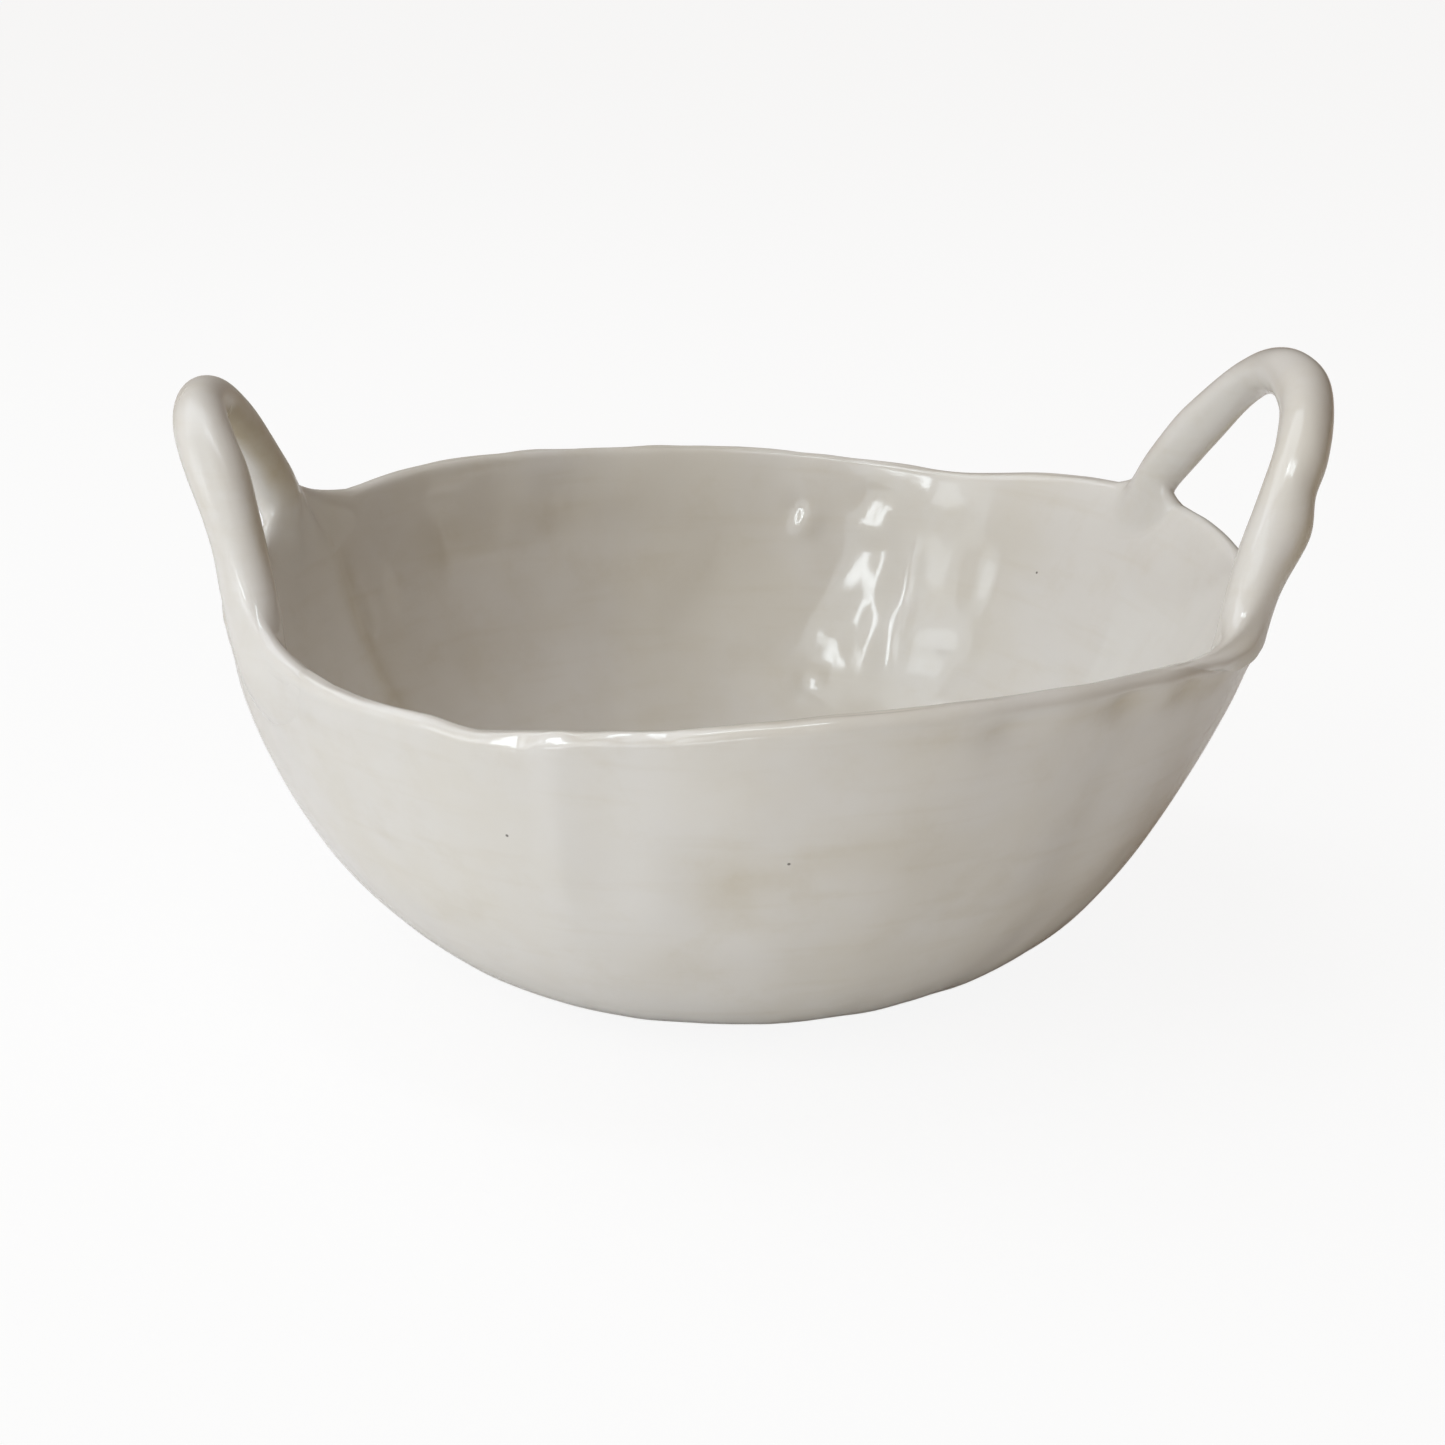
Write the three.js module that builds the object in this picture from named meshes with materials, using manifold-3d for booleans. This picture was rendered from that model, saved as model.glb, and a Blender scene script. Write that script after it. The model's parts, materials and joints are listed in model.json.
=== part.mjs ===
// Handled serving bowl: a hand-pinched clay shell with two rolled coil handles luted over its rim.
// Millimetres, +Z up. X runs through the two handles and Y from the front of the bowl to its back.
// The origin is on the table, under the middle of the base. Bearings are degrees from +X, towards +Y.
import * as THREE from "three";
import { LoftGeometry } from "three/addons/geometries/LoftGeometry.js";
import { mergeVertices } from "three/addons/utils/BufferGeometryUtils.js";
import Module from "manifold-3d";

// Shell
const RIM_RADIUS = 119; // axis to the middle of the lip
const RIM_HEIGHT = 94; // table to the crown of the lip, before the pinched waves
const BASE_RADIUS = 45; // the flat that the bowl stands on
const FLOOR = 8; // clay in the floor
const LIP = 5.5; // clay in the lip
const WALL_LEAN = 14.5; // degrees that the wall leans outwards under the lip, on average
const LEAN_SWAY = 8; // degrees more under the right handle, and less under the left one
const HEEL_RUN = 41; // how far the heel keeps running outwards before it turns up into the wall
const WALL_RUN = 42; // how far the wall keeps its lean below the lip

// Rise and fall of the crown that the potter's fingers left, one value every 15 degrees from bearing 0
const RIM_WAVE = [
  -2.5, 1, 2.5, 0, -4, -2.5, -0.5, 0.5, 2, 3, 2, 0.5,
  -1.5, -2.5, -3.5, -2.5, -5, -3, 1, 2.5, 2.5, 1, -3, -3,
];

// Handles: rolled coils, spread where they are pressed over the rim
const FOOT_SPREAD = 7.5; // half width of a foot along the rim
const FOOT_FLARE = 10; // length over which a leg spreads into its foot
const TIP_DEPTH = 8; // how far down the wall a foot is smeared
const TIP_SWING = 7; // degrees that a smeared tip runs on along the rim
const SEAT_GAP = 0.3; // slip joint between a foot and the shell
const RIGHT_RISE = 51.5; // rim to the centre line at the top of the right arch
const LEFT_RISE = 46; // the same for the left one, which is bent lower

const HANDLES = [
  {
    name: "right_handle",
    feet: [-29, 30.5], // bearings where the legs land on the rim
    lean: 26, // degrees that the arch leans outwards
    rise: RIGHT_RISE,
    legLean: 24, // degrees that a leg leans outwards where it leaves the rim
    legTuck: 35.5, // degrees that it turns there towards the other leg
    legRun: 30.5, // how far a leg keeps that direction
    crownRun: 36, // how far the top keeps level, each way
    crownShift: -1.5, // top of the arch off the middle, towards the second foot
    girth: [4.8, 6.4, 5.8, 6, 5.1, 6, 5.4], // radius of the coil, evenly spaced from foot to foot
  },
  {
    name: "left_handle",
    feet: [163, 210.5],
    lean: 18.5,
    rise: LEFT_RISE,
    legLean: 10,
    legTuck: 41.5,
    legRun: 33.5,
    crownRun: 27,
    crownShift: -0.5,
    girth: [7.2, 5.8, 5.6, 5.7, 5.9, 5.6, 5.4],
  },
];

// Facets
const COLUMNS = 80; // round the bowl
const WALL_STEPS = 13; // up the wall, on each face
const LIP_STEPS = 4; // over the crown
const COIL_SIDES = 16;
const COIL_STEPS = 64;

const { clamp, degToRad, inverseLerp, lerp, smoothstep } = THREE.MathUtils;
const UP = new THREE.Vector3(0, 0, 1);

const wasm = await Module();
wasm.setup();

// Height of the crown at a bearing: a smooth closed line through the waves.
const crownLine = new THREE.CatmullRomCurve3(
  RIM_WAVE.map((wave) => new THREE.Vector3(0, 0, wave)),
  true,
  "catmullrom",
);
function crownHeight(bearing) {
  const turn = THREE.MathUtils.euclideanModulo(bearing, 360) / 360;
  return RIM_HEIGHT + crownLine.getPoint(turn).z;
}

// Middle of the wall at a bearing, in the plane of radius and height, from the edge of the base to the lip.
function wallLine(bearing) {
  const lean = degToRad(WALL_LEAN + LEAN_SWAY * Math.cos(degToRad(bearing)));
  const heel = new THREE.Vector2(BASE_RADIUS, FLOOR / 2);
  const lip = new THREE.Vector2(RIM_RADIUS, crownHeight(bearing) - LIP / 2);
  return new THREE.CubicBezierCurve(
    heel,
    new THREE.Vector2(heel.x + HEEL_RUN, heel.y),
    new THREE.Vector2(lip.x - WALL_RUN * Math.sin(lean), lip.y - WALL_RUN * Math.cos(lean)),
    lip,
  );
}

// A place in the plane of radius and height, turned to its bearing.
function turned(bearing, place) {
  const angle = degToRad(bearing);
  return new THREE.Vector3(place.x * Math.cos(angle), place.x * Math.sin(angle), place.y);
}

// Section of the shell at a bearing: from the middle of the floor, up the inside, over the lip
// and down the outside to the middle of the base. grow thickens it on every side.
function shellSection(bearing, grow) {
  const line = wallLine(bearing);
  const inside = [new THREE.Vector2(0, FLOOR + grow)];
  const outside = [new THREE.Vector2(0, -grow)];
  for (let step = 0; step <= WALL_STEPS; step++) {
    const t = step / WALL_STEPS;
    const tangent = line.getTangent(t);
    const outwards = new THREE.Vector2(tangent.y, -tangent.x);
    const half = lerp(FLOOR, LIP, t) / 2 + grow;
    inside.push(line.getPoint(t).addScaledVector(outwards, -half));
    outside.push(line.getPoint(t).addScaledVector(outwards, half));
  }
  const lean = line.getTangent(1).angle();
  const lip = [];
  for (let step = 1; step < LIP_STEPS; step++) {
    const angle = lean + Math.PI * (0.5 - step / LIP_STEPS);
    const spoke = new THREE.Vector2(Math.cos(angle), Math.sin(angle));
    lip.push(line.getPoint(1).addScaledVector(spoke, LIP / 2 + grow));
  }
  return [...inside, ...lip, ...outside.reverse()].map((place) => turned(bearing, place));
}

// A loft whose coinciding points become one, less the facets that vanish with them.
function skin(sections, closed) {
  const loft = new THREE.BufferGeometry().copy(new LoftGeometry(sections, { closed }));
  loft.deleteAttribute("normal");
  loft.deleteAttribute("uv");
  const geometry = mergeVertices(loft);
  const corners = geometry.getIndex().array;
  const kept = [];
  for (let i = 0; i < corners.length; i += 3) {
    const [a, b, c] = corners.subarray(i, i + 3);
    if (a !== b && b !== c && c !== a) {
      kept.push(a, b, c);
    }
  }
  return geometry.setIndex(kept);
}

// The shell: its section lofted once round the axis.
function shellGeometry(grow) {
  const sections = [];
  for (let column = 0; column <= COLUMNS; column++) {
    sections.push(shellSection((360 * (column % COLUMNS)) / COLUMNS, grow));
  }
  return skin(sections, false);
}

// Middle of the wall at a depth below the lip.
function wallPlace(bearing, depth) {
  const line = wallLine(bearing);
  return turned(bearing, line.getPointAt(1 - depth / line.getLength()));
}

// Centre line of a handle: from a tip smeared down inside the wall, over the rim, round the arch and back.
function handleLine(handle) {
  const [first, second] = handle.feet.map((bearing) => wallPlace(bearing, 0));
  const along = second.clone().sub(first).normalize();
  const outward = along.clone().cross(UP).normalize();
  const up = outward.clone().cross(along);
  const leaning = (lean) => up.clone().applyAxisAngle(along, degToRad(lean));
  const crown = first.clone().lerp(second, 0.5);
  crown.addScaledVector(leaning(handle.lean), handle.rise);
  crown.addScaledVector(along, handle.crownShift);

  const tuck = degToRad(handle.legTuck);
  const [start, end] = [1, -1].map((sense, i) => {
    const foot = [first, second][i];
    const leg = leaning(handle.legLean).multiplyScalar(Math.cos(tuck));
    leg.addScaledVector(along, sense * Math.sin(tuck));
    const tip = wallPlace(handle.feet[i] - sense * TIP_SWING, TIP_DEPTH);
    const knee = foot.clone().addScaledVector(leg, handle.legRun);
    const shoulder = crown.clone().addScaledVector(along, -sense * handle.crownRun);
    const heel = foot.clone().addScaledVector(leg, -TIP_DEPTH / 2);
    return { smear: [tip, heel, foot], arch: [foot, knee, shoulder, crown] };
  });
  const line = new THREE.CurvePath();
  line.add(new THREE.QuadraticBezierCurve3(...start.smear));
  line.add(new THREE.CubicBezierCurve3(...start.arch));
  line.add(new THREE.CubicBezierCurve3(...end.arch.reverse()));
  line.add(new THREE.QuadraticBezierCurve3(...end.smear.reverse()));
  return { line, side: along.clone().cross(leaning(handle.lean)) };
}

// A rolled coil along the handle's line, which tapers away at both tips.
function coilGeometry(handle) {
  const { line, side } = handleLine(handle);
  const length = line.getLength();
  const smear = line.curves[0].getLength();
  const girth = new THREE.SplineCurve(handle.girth.map((radius, i) => new THREE.Vector2(i, radius)));
  const sections = [];
  for (let step = 0; step <= COIL_STEPS; step++) {
    const t = step / COIL_STEPS;
    const tangent = line.getTangent(t);
    const across = tangent.clone().cross(side).normalize();
    const through = tangent.clone().cross(across);
    const fromTip = Math.min(t, 1 - t) * length;
    const radius = girth.getPoint(clamp(inverseLerp(smear, length - smear, t * length), 0, 1)).y;
    const spread = lerp(FOOT_SPREAD, radius, smoothstep(fromTip, smear, smear + FOOT_FLARE));
    const taper = Math.sqrt(Math.min(1, fromTip / smear));
    const ring = [];
    for (let i = 0; i < COIL_SIDES; i++) {
      const angle = (2 * Math.PI * i) / COIL_SIDES;
      const point = line.getPoint(t);
      point.addScaledVector(across, taper * spread * Math.cos(angle));
      point.addScaledVector(through, taper * radius * Math.sin(angle));
      ring.push(point);
    }
    sections.push(ring);
  }
  return skin(sections, true);
}

function solid(geometry) {
  const vertProperties = geometry.getAttribute("position").array;
  const triVerts = new Uint32Array(geometry.getIndex().array);
  return new wasm.Manifold(new wasm.Mesh({ numProp: 3, vertProperties, triVerts }));
}

// A handle astride the rim: the coil less the shell and its slip joint.
function handleGeometry(handle) {
  const cut = solid(coilGeometry(handle)).subtract(solid(shellGeometry(SEAT_GAP)));
  const [largest] = cut.decompose().sort((a, b) => b.volume() - a.volume());
  const { vertProperties, triVerts } = largest.getMesh();
  const geometry = new THREE.BufferGeometry();
  geometry.setAttribute("position", new THREE.BufferAttribute(vertProperties, 3));
  geometry.setIndex(new THREE.BufferAttribute(triVerts, 1));
  return geometry;
}

const bowl = new THREE.Group();

function addPiece(name, geometry) {
  geometry.computeVertexNormals();
  const glaze = new THREE.MeshStandardMaterial({ color: 0xdad7d0, roughness: 0.15, metalness: 0 });
  const piece = new THREE.Mesh(geometry, glaze);
  piece.name = name;
  bowl.add(piece);
}

addPiece("bowl_shell", shellGeometry(0));
for (const handle of HANDLES) {
  addPiece(handle.name, handleGeometry(handle));
}

export default bowl;
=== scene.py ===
# %% [markdown]
# # A pinched serving bowl with two coil handles
# The real bowl is three pieces of clay: a round shell pinched up by hand, and two rolled coils that were
# bent into arches and pressed over the rim while the clay was soft. One glossy, warm white glaze covers
# them all. This lesson rebuilds it around the measured solids, which give every size and place in metres.

# %% Load the measured solids
import json
import math

import bpy
import numpy as np
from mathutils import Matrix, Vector, noise
from mathutils.bvhtree import BVHTree

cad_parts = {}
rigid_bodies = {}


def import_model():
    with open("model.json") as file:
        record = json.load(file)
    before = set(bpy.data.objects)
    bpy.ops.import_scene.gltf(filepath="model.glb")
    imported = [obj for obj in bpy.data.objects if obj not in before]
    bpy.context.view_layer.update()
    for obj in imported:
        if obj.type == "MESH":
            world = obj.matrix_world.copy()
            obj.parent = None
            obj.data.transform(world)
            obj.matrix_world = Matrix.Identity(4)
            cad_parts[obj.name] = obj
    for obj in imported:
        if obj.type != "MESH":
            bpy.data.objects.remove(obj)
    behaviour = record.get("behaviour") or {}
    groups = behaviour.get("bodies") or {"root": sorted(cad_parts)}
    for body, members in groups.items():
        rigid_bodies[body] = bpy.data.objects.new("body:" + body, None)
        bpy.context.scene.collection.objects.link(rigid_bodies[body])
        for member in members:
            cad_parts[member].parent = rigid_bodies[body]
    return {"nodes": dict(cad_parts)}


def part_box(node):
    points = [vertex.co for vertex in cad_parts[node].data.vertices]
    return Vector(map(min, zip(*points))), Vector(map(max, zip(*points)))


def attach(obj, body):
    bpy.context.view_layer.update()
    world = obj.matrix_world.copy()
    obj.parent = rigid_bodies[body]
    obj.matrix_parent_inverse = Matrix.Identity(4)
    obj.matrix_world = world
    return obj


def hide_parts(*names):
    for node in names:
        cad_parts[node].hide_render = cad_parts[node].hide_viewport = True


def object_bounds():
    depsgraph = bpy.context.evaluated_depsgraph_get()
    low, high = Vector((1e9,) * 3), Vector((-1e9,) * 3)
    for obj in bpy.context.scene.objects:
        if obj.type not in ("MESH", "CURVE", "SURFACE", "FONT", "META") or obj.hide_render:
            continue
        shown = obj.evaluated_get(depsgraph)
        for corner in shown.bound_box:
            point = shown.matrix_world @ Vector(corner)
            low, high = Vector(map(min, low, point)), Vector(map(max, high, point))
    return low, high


for leftover in list(bpy.data.objects):
    bpy.data.objects.remove(leftover)
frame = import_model()

solid_box = [list(corner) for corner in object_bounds()]
print("solids:", sorted(frame["nodes"]), "box:", solid_box)

# %% [markdown]
# ## Looking at it first
# A model that is compared with a photograph needs the photograph's viewpoint before anything else. The
# camera here was worked out from the rim: a circle seen from above is an ellipse, and its shape and place
# in the picture give the height, the distance and the lens.

# %% Camera
IMAGE_PIXELS = 1445
FOCAL_PIXELS = 2317
SENSOR_MM = 36.0
LOOKING_DOWN = 19.726
TURNED_LEFT = 0.577

camera = bpy.data.objects.new("camera", bpy.data.cameras.new("camera"))
bpy.context.scene.collection.objects.link(camera)
camera.location = (0.0, -0.52935, 0.24229)
camera.rotation_euler = (math.radians(90 - LOOKING_DOWN), 0.0, math.radians(TURNED_LEFT))
camera.data.sensor_width = SENSOR_MM
camera.data.lens = SENSOR_MM * FOCAL_PIXELS / IMAGE_PIXELS
camera.data.clip_start = 0.01
bpy.context.scene.camera = camera
print("lens", round(camera.data.lens, 2), "mm")

# %% [markdown]
# ## The shell
# The wall was pinched between finger and thumb, so its rim rises and falls and no two places have the same
# curve. The solid has that shape already, in coarse facets. A lathe-like spin would give a perfect circle,
# so it is better to take a copy of the solid, turn its triangles back into four-sided faces, and let a
# subdivision surface round them off. Operators act on whatever is selected, so a small helper first makes
# one piece the only selected one.

# %% Copy the shell's solid into four-sided faces
def hold(piece):
    """Makes a piece the only one that operators act on."""
    bpy.ops.object.select_all(action="DESELECT")
    piece.select_set(True)
    bpy.context.view_layer.objects.active = piece


bowl = bpy.data.objects.new("pinched_bowl", frame["nodes"]["bowl_shell"].data.copy())
bpy.context.scene.collection.objects.link(bowl)
hold(bowl)
bpy.ops.object.mode_set(mode="EDIT")
bpy.ops.mesh.select_all(action="SELECT")
bpy.ops.mesh.remove_doubles(threshold=0.00001)
bpy.ops.mesh.tris_convert_to_quads(face_threshold=math.radians(60), shape_threshold=math.radians(60))
bpy.ops.object.mode_set(mode="OBJECT")
print("shell cage:", len(bowl.data.polygons), "faces")

# %% Smooth its facets
rounding = bowl.modifiers.new("rounding", "SUBSURF")
rounding.levels = 2
rounding.render_levels = 2
bpy.ops.object.modifier_apply(modifier=rounding.name)
bpy.ops.object.shade_smooth()
print("shell:", len(bowl.data.polygons), "faces")

# %% [markdown]
# ## Reading the clay
# Everything that hands did to the clay is a push at a place, so each point of the shell has to be known by
# its bearing round the bowl, its depth below the crown of the lip, and the face of the wall that it is on.
# All points are read and written at once as rows of numbers, because a loop over each would be slow.

# %% Reading and moving the points of a piece
def points(piece):
    """All the points of a piece, one row each."""
    flat = np.empty(len(piece.data.vertices) * 3)
    piece.data.vertices.foreach_get("co", flat)
    return flat.reshape(-1, 3)


def facing(piece):
    """The outward direction at each point of a piece."""
    flat = np.empty(len(piece.data.vertices) * 3)
    piece.data.vertex_normals.foreach_get("vector", flat)
    return flat.reshape(-1, 3)


def move_points(piece, places):
    """Puts the points of a piece where they should be."""
    piece.data.vertices.foreach_set("co", np.ascontiguousarray(places).ravel())
    piece.data.update()


def unit(vectors):
    """Directions of length one."""
    return vectors / np.linalg.norm(vectors, axis=-1, keepdims=True)


print("the shell has", len(points(bowl)), "points")

# %% Where each point of the shell is
# How sharply one face of the wall gives way to the other, and columns of points round the bowl
FACE_EDGE = 2.5
COLUMNS = 320

clay = points(bowl)
normal = facing(bowl)
bearing = np.degrees(np.arctan2(clay[:, 1], clay[:, 0]))
radial = unit(clay[:, :2] + 1e-9)
outwards = np.sum(normal[:, :2] * radial, axis=1)
outer_face = np.clip(outwards * FACE_EDGE, 0, 1)
inner_face = np.clip(-outwards * FACE_EDGE, 0, 1)

column = np.rint((bearing + 180) / 360 * COLUMNS).astype(int) % COLUMNS
crown = np.array([clay[column == i, 2].max() for i in range(COLUMNS)])[column]
below = crown - clay[:, 2]
print("crown of the lip:", round(crown.min() * 1000, 1), "to", round(crown.max() * 1000, 1), "mm")

# %% [markdown]
# ## The lip
# Smoothing facets also shrinks a narrow lip and leaves faint flats along it. A wet finger run round the rim
# leaves it truly round, so the points of the lip go back onto one small circle. The crown also has a few
# places where the finger stopped and the line of the rim breaks.

# %% Round the lip and set the line of its crown
LIP_RADIUS = 0.00275
RIM_RADIUS = 0.119
WALL_LEAN = 14.5
LEAN_SWAY = 8.0
LIP_BLEND = 0.0008
TOUCH_REACH = 0.016
# Bearing, and millimetres that the crown is lifted there
CROWN_TOUCHES = np.array([
    (-140, 0), (-135, -0.8), (-131, -0.7), (-128, 0.0), (-124, 0.7), (-121, 1.1), (-118.5, 0.5),
    (-116, 0.0), (-113, 0.3), (-107, 1.0), (-103, 0.8), (-98, 0.3), (-94, 0.0),
])

radius = np.linalg.norm(clay[:, :2], axis=1)
lean = np.radians(WALL_LEAN + LEAN_SWAY * np.cos(np.radians(bearing)))
reach = np.stack([radius - RIM_RADIUS, LIP_RADIUS - below], axis=1)
upright = np.sum(reach * np.stack([np.sin(lean), np.cos(lean)], axis=1), axis=1)
rounded = reach / np.maximum(np.linalg.norm(reach, axis=1, keepdims=True), 1e-6) * LIP_RADIUS
on_lip = np.clip(upright / LIP_BLEND, 0, 1)[:, None]
reach = reach * (1 - on_lip) + rounded * on_lip
lift = np.interp(bearing, CROWN_TOUCHES[:, 0], CROWN_TOUCHES[:, 1]) / 1000
lift = lift * np.exp(-((below / TOUCH_REACH) ** 2))
clay[:, :2] = radial * (RIM_RADIUS + reach[:, :1])
clay[:, 2] = crown - LIP_RADIUS + reach[:, 1] + lift
move_points(bowl, clay)
normal = facing(bowl)
print("lip rounded at", int(np.sum(upright > 0)), "points")

# %% [markdown]
# ## Finger marks
# Pinched clay is never even. Fingers leave shallow hollows under the lip, and where two pulls meet there is
# a soft ridge up the wall; a glossy glaze shows each of them as a bend in a highlight. Sculpting them by
# brush can't be repeated exactly, so each mark is written down instead: where it is on the wall, how large
# it is, and how far it pushes the clay in or out.

# %% Three kinds of mark
WALL_STEEPNESS = 0.88
# How fast a drawn mark fades towards its ends, and how much of it is left there
END_FADE = 3.0
END_LEFT = 0.6


def round_from(middle):
    """How far each point of the shell is from a bearing, measured round the bowl."""
    return np.radians((bearing - middle + 180) % 360 - 180) * np.linalg.norm(clay[:, :2], axis=1)


def drawn_up(foot, top, low, high, width, depth, face):
    """A mark drawn up one face of the wall, from a bearing at its foot to another at its top."""
    share = (clay[:, 2] - low) / (high - low)
    across = round_from(foot + (top - foot) * np.clip(share, 0, 1))
    ends = np.clip(np.minimum(share, 1 - share) * END_FADE + END_LEFT, 0, 1)
    smooth_ends = ends * ends * (3 - 2 * ends)
    return depth * np.exp(-((across / width) ** 2)) * smooth_ends * face


def pressed(middle, depth_below, width, height, depth, face):
    """A fingertip's hollow, or the swelling beside it, at a distance below the crown of the lip."""
    down = below - depth_below
    return depth * np.exp(-((round_from(middle) / width) ** 2) - (down / height) ** 2) * face


def dabbed_flat(middle, height, width, tall, round_tilt, up_tilt, face):
    """A small flat left by a fingertip, tilted round the bowl and up the wall."""
    across = round_from(middle)
    up = (clay[:, 2] - height) / WALL_STEEPNESS
    return (round_tilt * across + up_tilt * up) * np.exp(-((across / width) ** 4) - (up / tall) ** 4) * face


print(int(np.sum(inner_face > 0)), "points are inside and", int(np.sum(outer_face > 0)), "outside")

# %% Marks inside the bowl
# Bearings at foot and top, lowest and highest point, width, depth
INSIDE_MARKS = [
    (155.5, 156.0, 0.034, 0.090, 0.0030, -0.0009),
    (150.0, 150.5, 0.034, 0.090, 0.0060, 0.0006),
    (137.0, 136.0, 0.066, 0.084, 0.0050, -0.0006),
    (118.0, 117.0, 0.070, 0.088, 0.0060, -0.0006),
]
# Bearing, height, half width, half height, tilt round the bowl, tilt up the wall
INSIDE_DABS = [
    (71.2, 0.0775, 0.0055, 0.0075, -0.050, -0.150),
    (73.0, 0.0613, 0.0060, 0.0075, -0.020, -0.033),
    (76.0, 0.0399, 0.0055, 0.0070, -0.083, 0.100),
    (78.0, 0.0330, 0.0040, 0.0040, -0.170, 0.240),
    (66.5, 0.0560, 0.0060, 0.0210, 0.130, 0.000),
    (57.1, 0.0412, 0.0160, 0.0120, 0.065, 0.052),
    (51.2, 0.0634, 0.0050, 0.0080, 0.165, -0.020),
    (81.9, 0.0757, 0.0045, 0.0050, -0.240, -0.200),
    (93.0, 0.0235, 0.0160, 0.0100, 0.000, 0.070),
]
push = np.zeros(len(clay))
for mark in INSIDE_MARKS:
    push += drawn_up(*mark, inner_face)
for dab in INSIDE_DABS:
    push += dabbed_flat(*dab, inner_face)
print("inside marks push by", round(push.min() * 1000, 2), "to", round(push.max() * 1000, 2), "mm")

# %% Marks outside and under the lip
# Bearings at foot and top, lowest and highest point, width, depth
OUTSIDE_MARKS = [
    (-109.0, -107.5, 0.048, 0.094, 0.0030, 0.0005),
    (-104.0, -102.5, 0.050, 0.092, 0.0060, -0.0005),
    (-90.5, -90.5, 0.044, 0.068, 0.0120, -0.0006),
    (-40.0, -38.0, 0.044, 0.080, 0.0100, 0.0004),
    (-50.0, -48.0, 0.044, 0.080, 0.0110, -0.0005),
]
# Bearing, distance below the crown, width, height, depth
LIP_PRESSES = [
    (-65.0, 0.0070, 0.0060, 0.0032, -0.0014),
    (-58.0, 0.0060, 0.0050, 0.0035, 0.0004),
    (-50.5, 0.0065, 0.0055, 0.0032, -0.0016),
    (-40.5, 0.0060, 0.0050, 0.0030, -0.0012),
    (-44.0, 0.0060, 0.0050, 0.0035, 0.0005),
    (-125.5, 0.0020, 0.0050, 0.0020, -0.0005),
    (-78.0, 0.0100, 0.0110, 0.0060, -0.0006),
]
for mark in OUTSIDE_MARKS:
    push += drawn_up(*mark, outer_face)
for mark in LIP_PRESSES:
    push += pressed(*mark, outer_face)
print("all marks push by", round(push.min() * 1000, 2), "to", round(push.max() * 1000, 2), "mm")

# %% [markdown]
# Besides the marks that can be pointed at, the whole wall is a little uneven: slow waves from the turning
# of the bowl in the hand, finer ones from the scraper inside, and a roll along the lip. A noise at a few
# scales gives them, and a shallow hollow runs round under the lip, where the finger pressed.

# %% Waves over the whole wall
def waves(round_bowl, tall, corner):
    """A noise at each point of the shell, from its waves round the bowl, their height and its own corner."""
    places = np.column_stack([radial * round_bowl, clay[:, 2] / tall]) + corner
    return np.array([noise.noise(Vector(place)) for place in places])


slow = waves(2.2, 0.090, (5, 2, 0))
fingers = waves(6.5, 0.045, inner_face[:, None] * np.array([3, 7, 1]))
scraped = waves(9.0, 0.016, (8, 4, 0))
dabbed = waves(17.0, 0.009, (2, 9, 0))
rolled = waves(11.0, math.inf, (6, 1, 3))
print("slow waves from", round(slow.min(), 2), "to", round(slow.max(), 2))

# %% A slow unevenness everywhere
SLOW_WAVE = 0.0006
FINGER_WAVE = 0.00045
SCRAPED_INSIDE = 0.00050
DABBED_INSIDE = 0.00016
SCRAPED_OUTSIDE = 0.00012
DABBED_OUTSIDE = 0.00004
SCRAPED_BELOW = 0.012
LIP_ROLL = 0.00030
LIP_ROLL_REACH = 0.005
HOLLOW_DEPTH = 0.0004
HOLLOW_BELOW = 0.0110
HOLLOW_HEIGHT = 0.0050

push += (FINGER_WAVE * fingers + SLOW_WAVE * slow) * np.maximum(outer_face, inner_face)
scraped_face = inner_face * np.minimum(1, below / SCRAPED_BELOW)
push += (SCRAPED_INSIDE * scraped + DABBED_INSIDE * dabbed) * scraped_face
push += (SCRAPED_OUTSIDE * scraped + DABBED_OUTSIDE * dabbed) * outer_face
push += LIP_ROLL * rolled * np.exp(-((below / LIP_ROLL_REACH) ** 2))
push -= HOLLOW_DEPTH * np.exp(-(((below - HOLLOW_BELOW) / HOLLOW_HEIGHT) ** 2)) * outer_face
clay = clay + normal * push[:, None]
print("hands push the clay by", round(push.min() * 1000, 2), "to", round(push.max() * 1000, 2), "mm")

# %% [markdown]
# At the front the fingers held the lip and left small flats. A round lip squeezes every highlight into a
# thin line, and a flat shows it as a bright patch, so each flat is cut by a plane with its own facing.

# %% Flats on the front of the lip
FLAT_EDGE = 0.0014
LIP_DEPTH = 0.009
FRONT_REACH = 0.03
# Bearing, facing, depth, half width
FLATS = [
    (-112.4, (-0.272, -0.798, 0.537), 0.00070, 0.0050),
    (-107.0, (-0.284, -0.796, 0.536), 0.00060, 0.0020),
    (-104.9, (-0.124, -0.600, 0.790), 0.00030, 0.0016),
    (-101.4, (-0.090, -0.606, 0.790), 0.00036, 0.0036),
    (-97.6, (-0.057, -0.610, 0.790), 0.00032, 0.0026),
]
for middle, heading, depth, half in FLATS:
    turn = math.radians(middle)
    heading = unit(np.array(heading))
    hub = RIM_RADIUS * np.array([math.cos(turn), math.sin(turn), 0.0])
    across = (clay - hub) @ np.array([-math.sin(turn), math.cos(turn), 0.0])
    front = (below < LIP_DEPTH) & (np.abs(across) < FRONT_REACH) & (clay @ hub > 0)
    height = (clay - hub) @ heading
    peak = height[front & (np.abs(across) < FLAT_EDGE)].max()
    share = np.clip((half + FLAT_EDGE - np.abs(across)) / FLAT_EDGE, 0, 1) * front
    clay = clay - heading * (np.maximum(height - peak + depth, 0) * share)[:, None]

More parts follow.
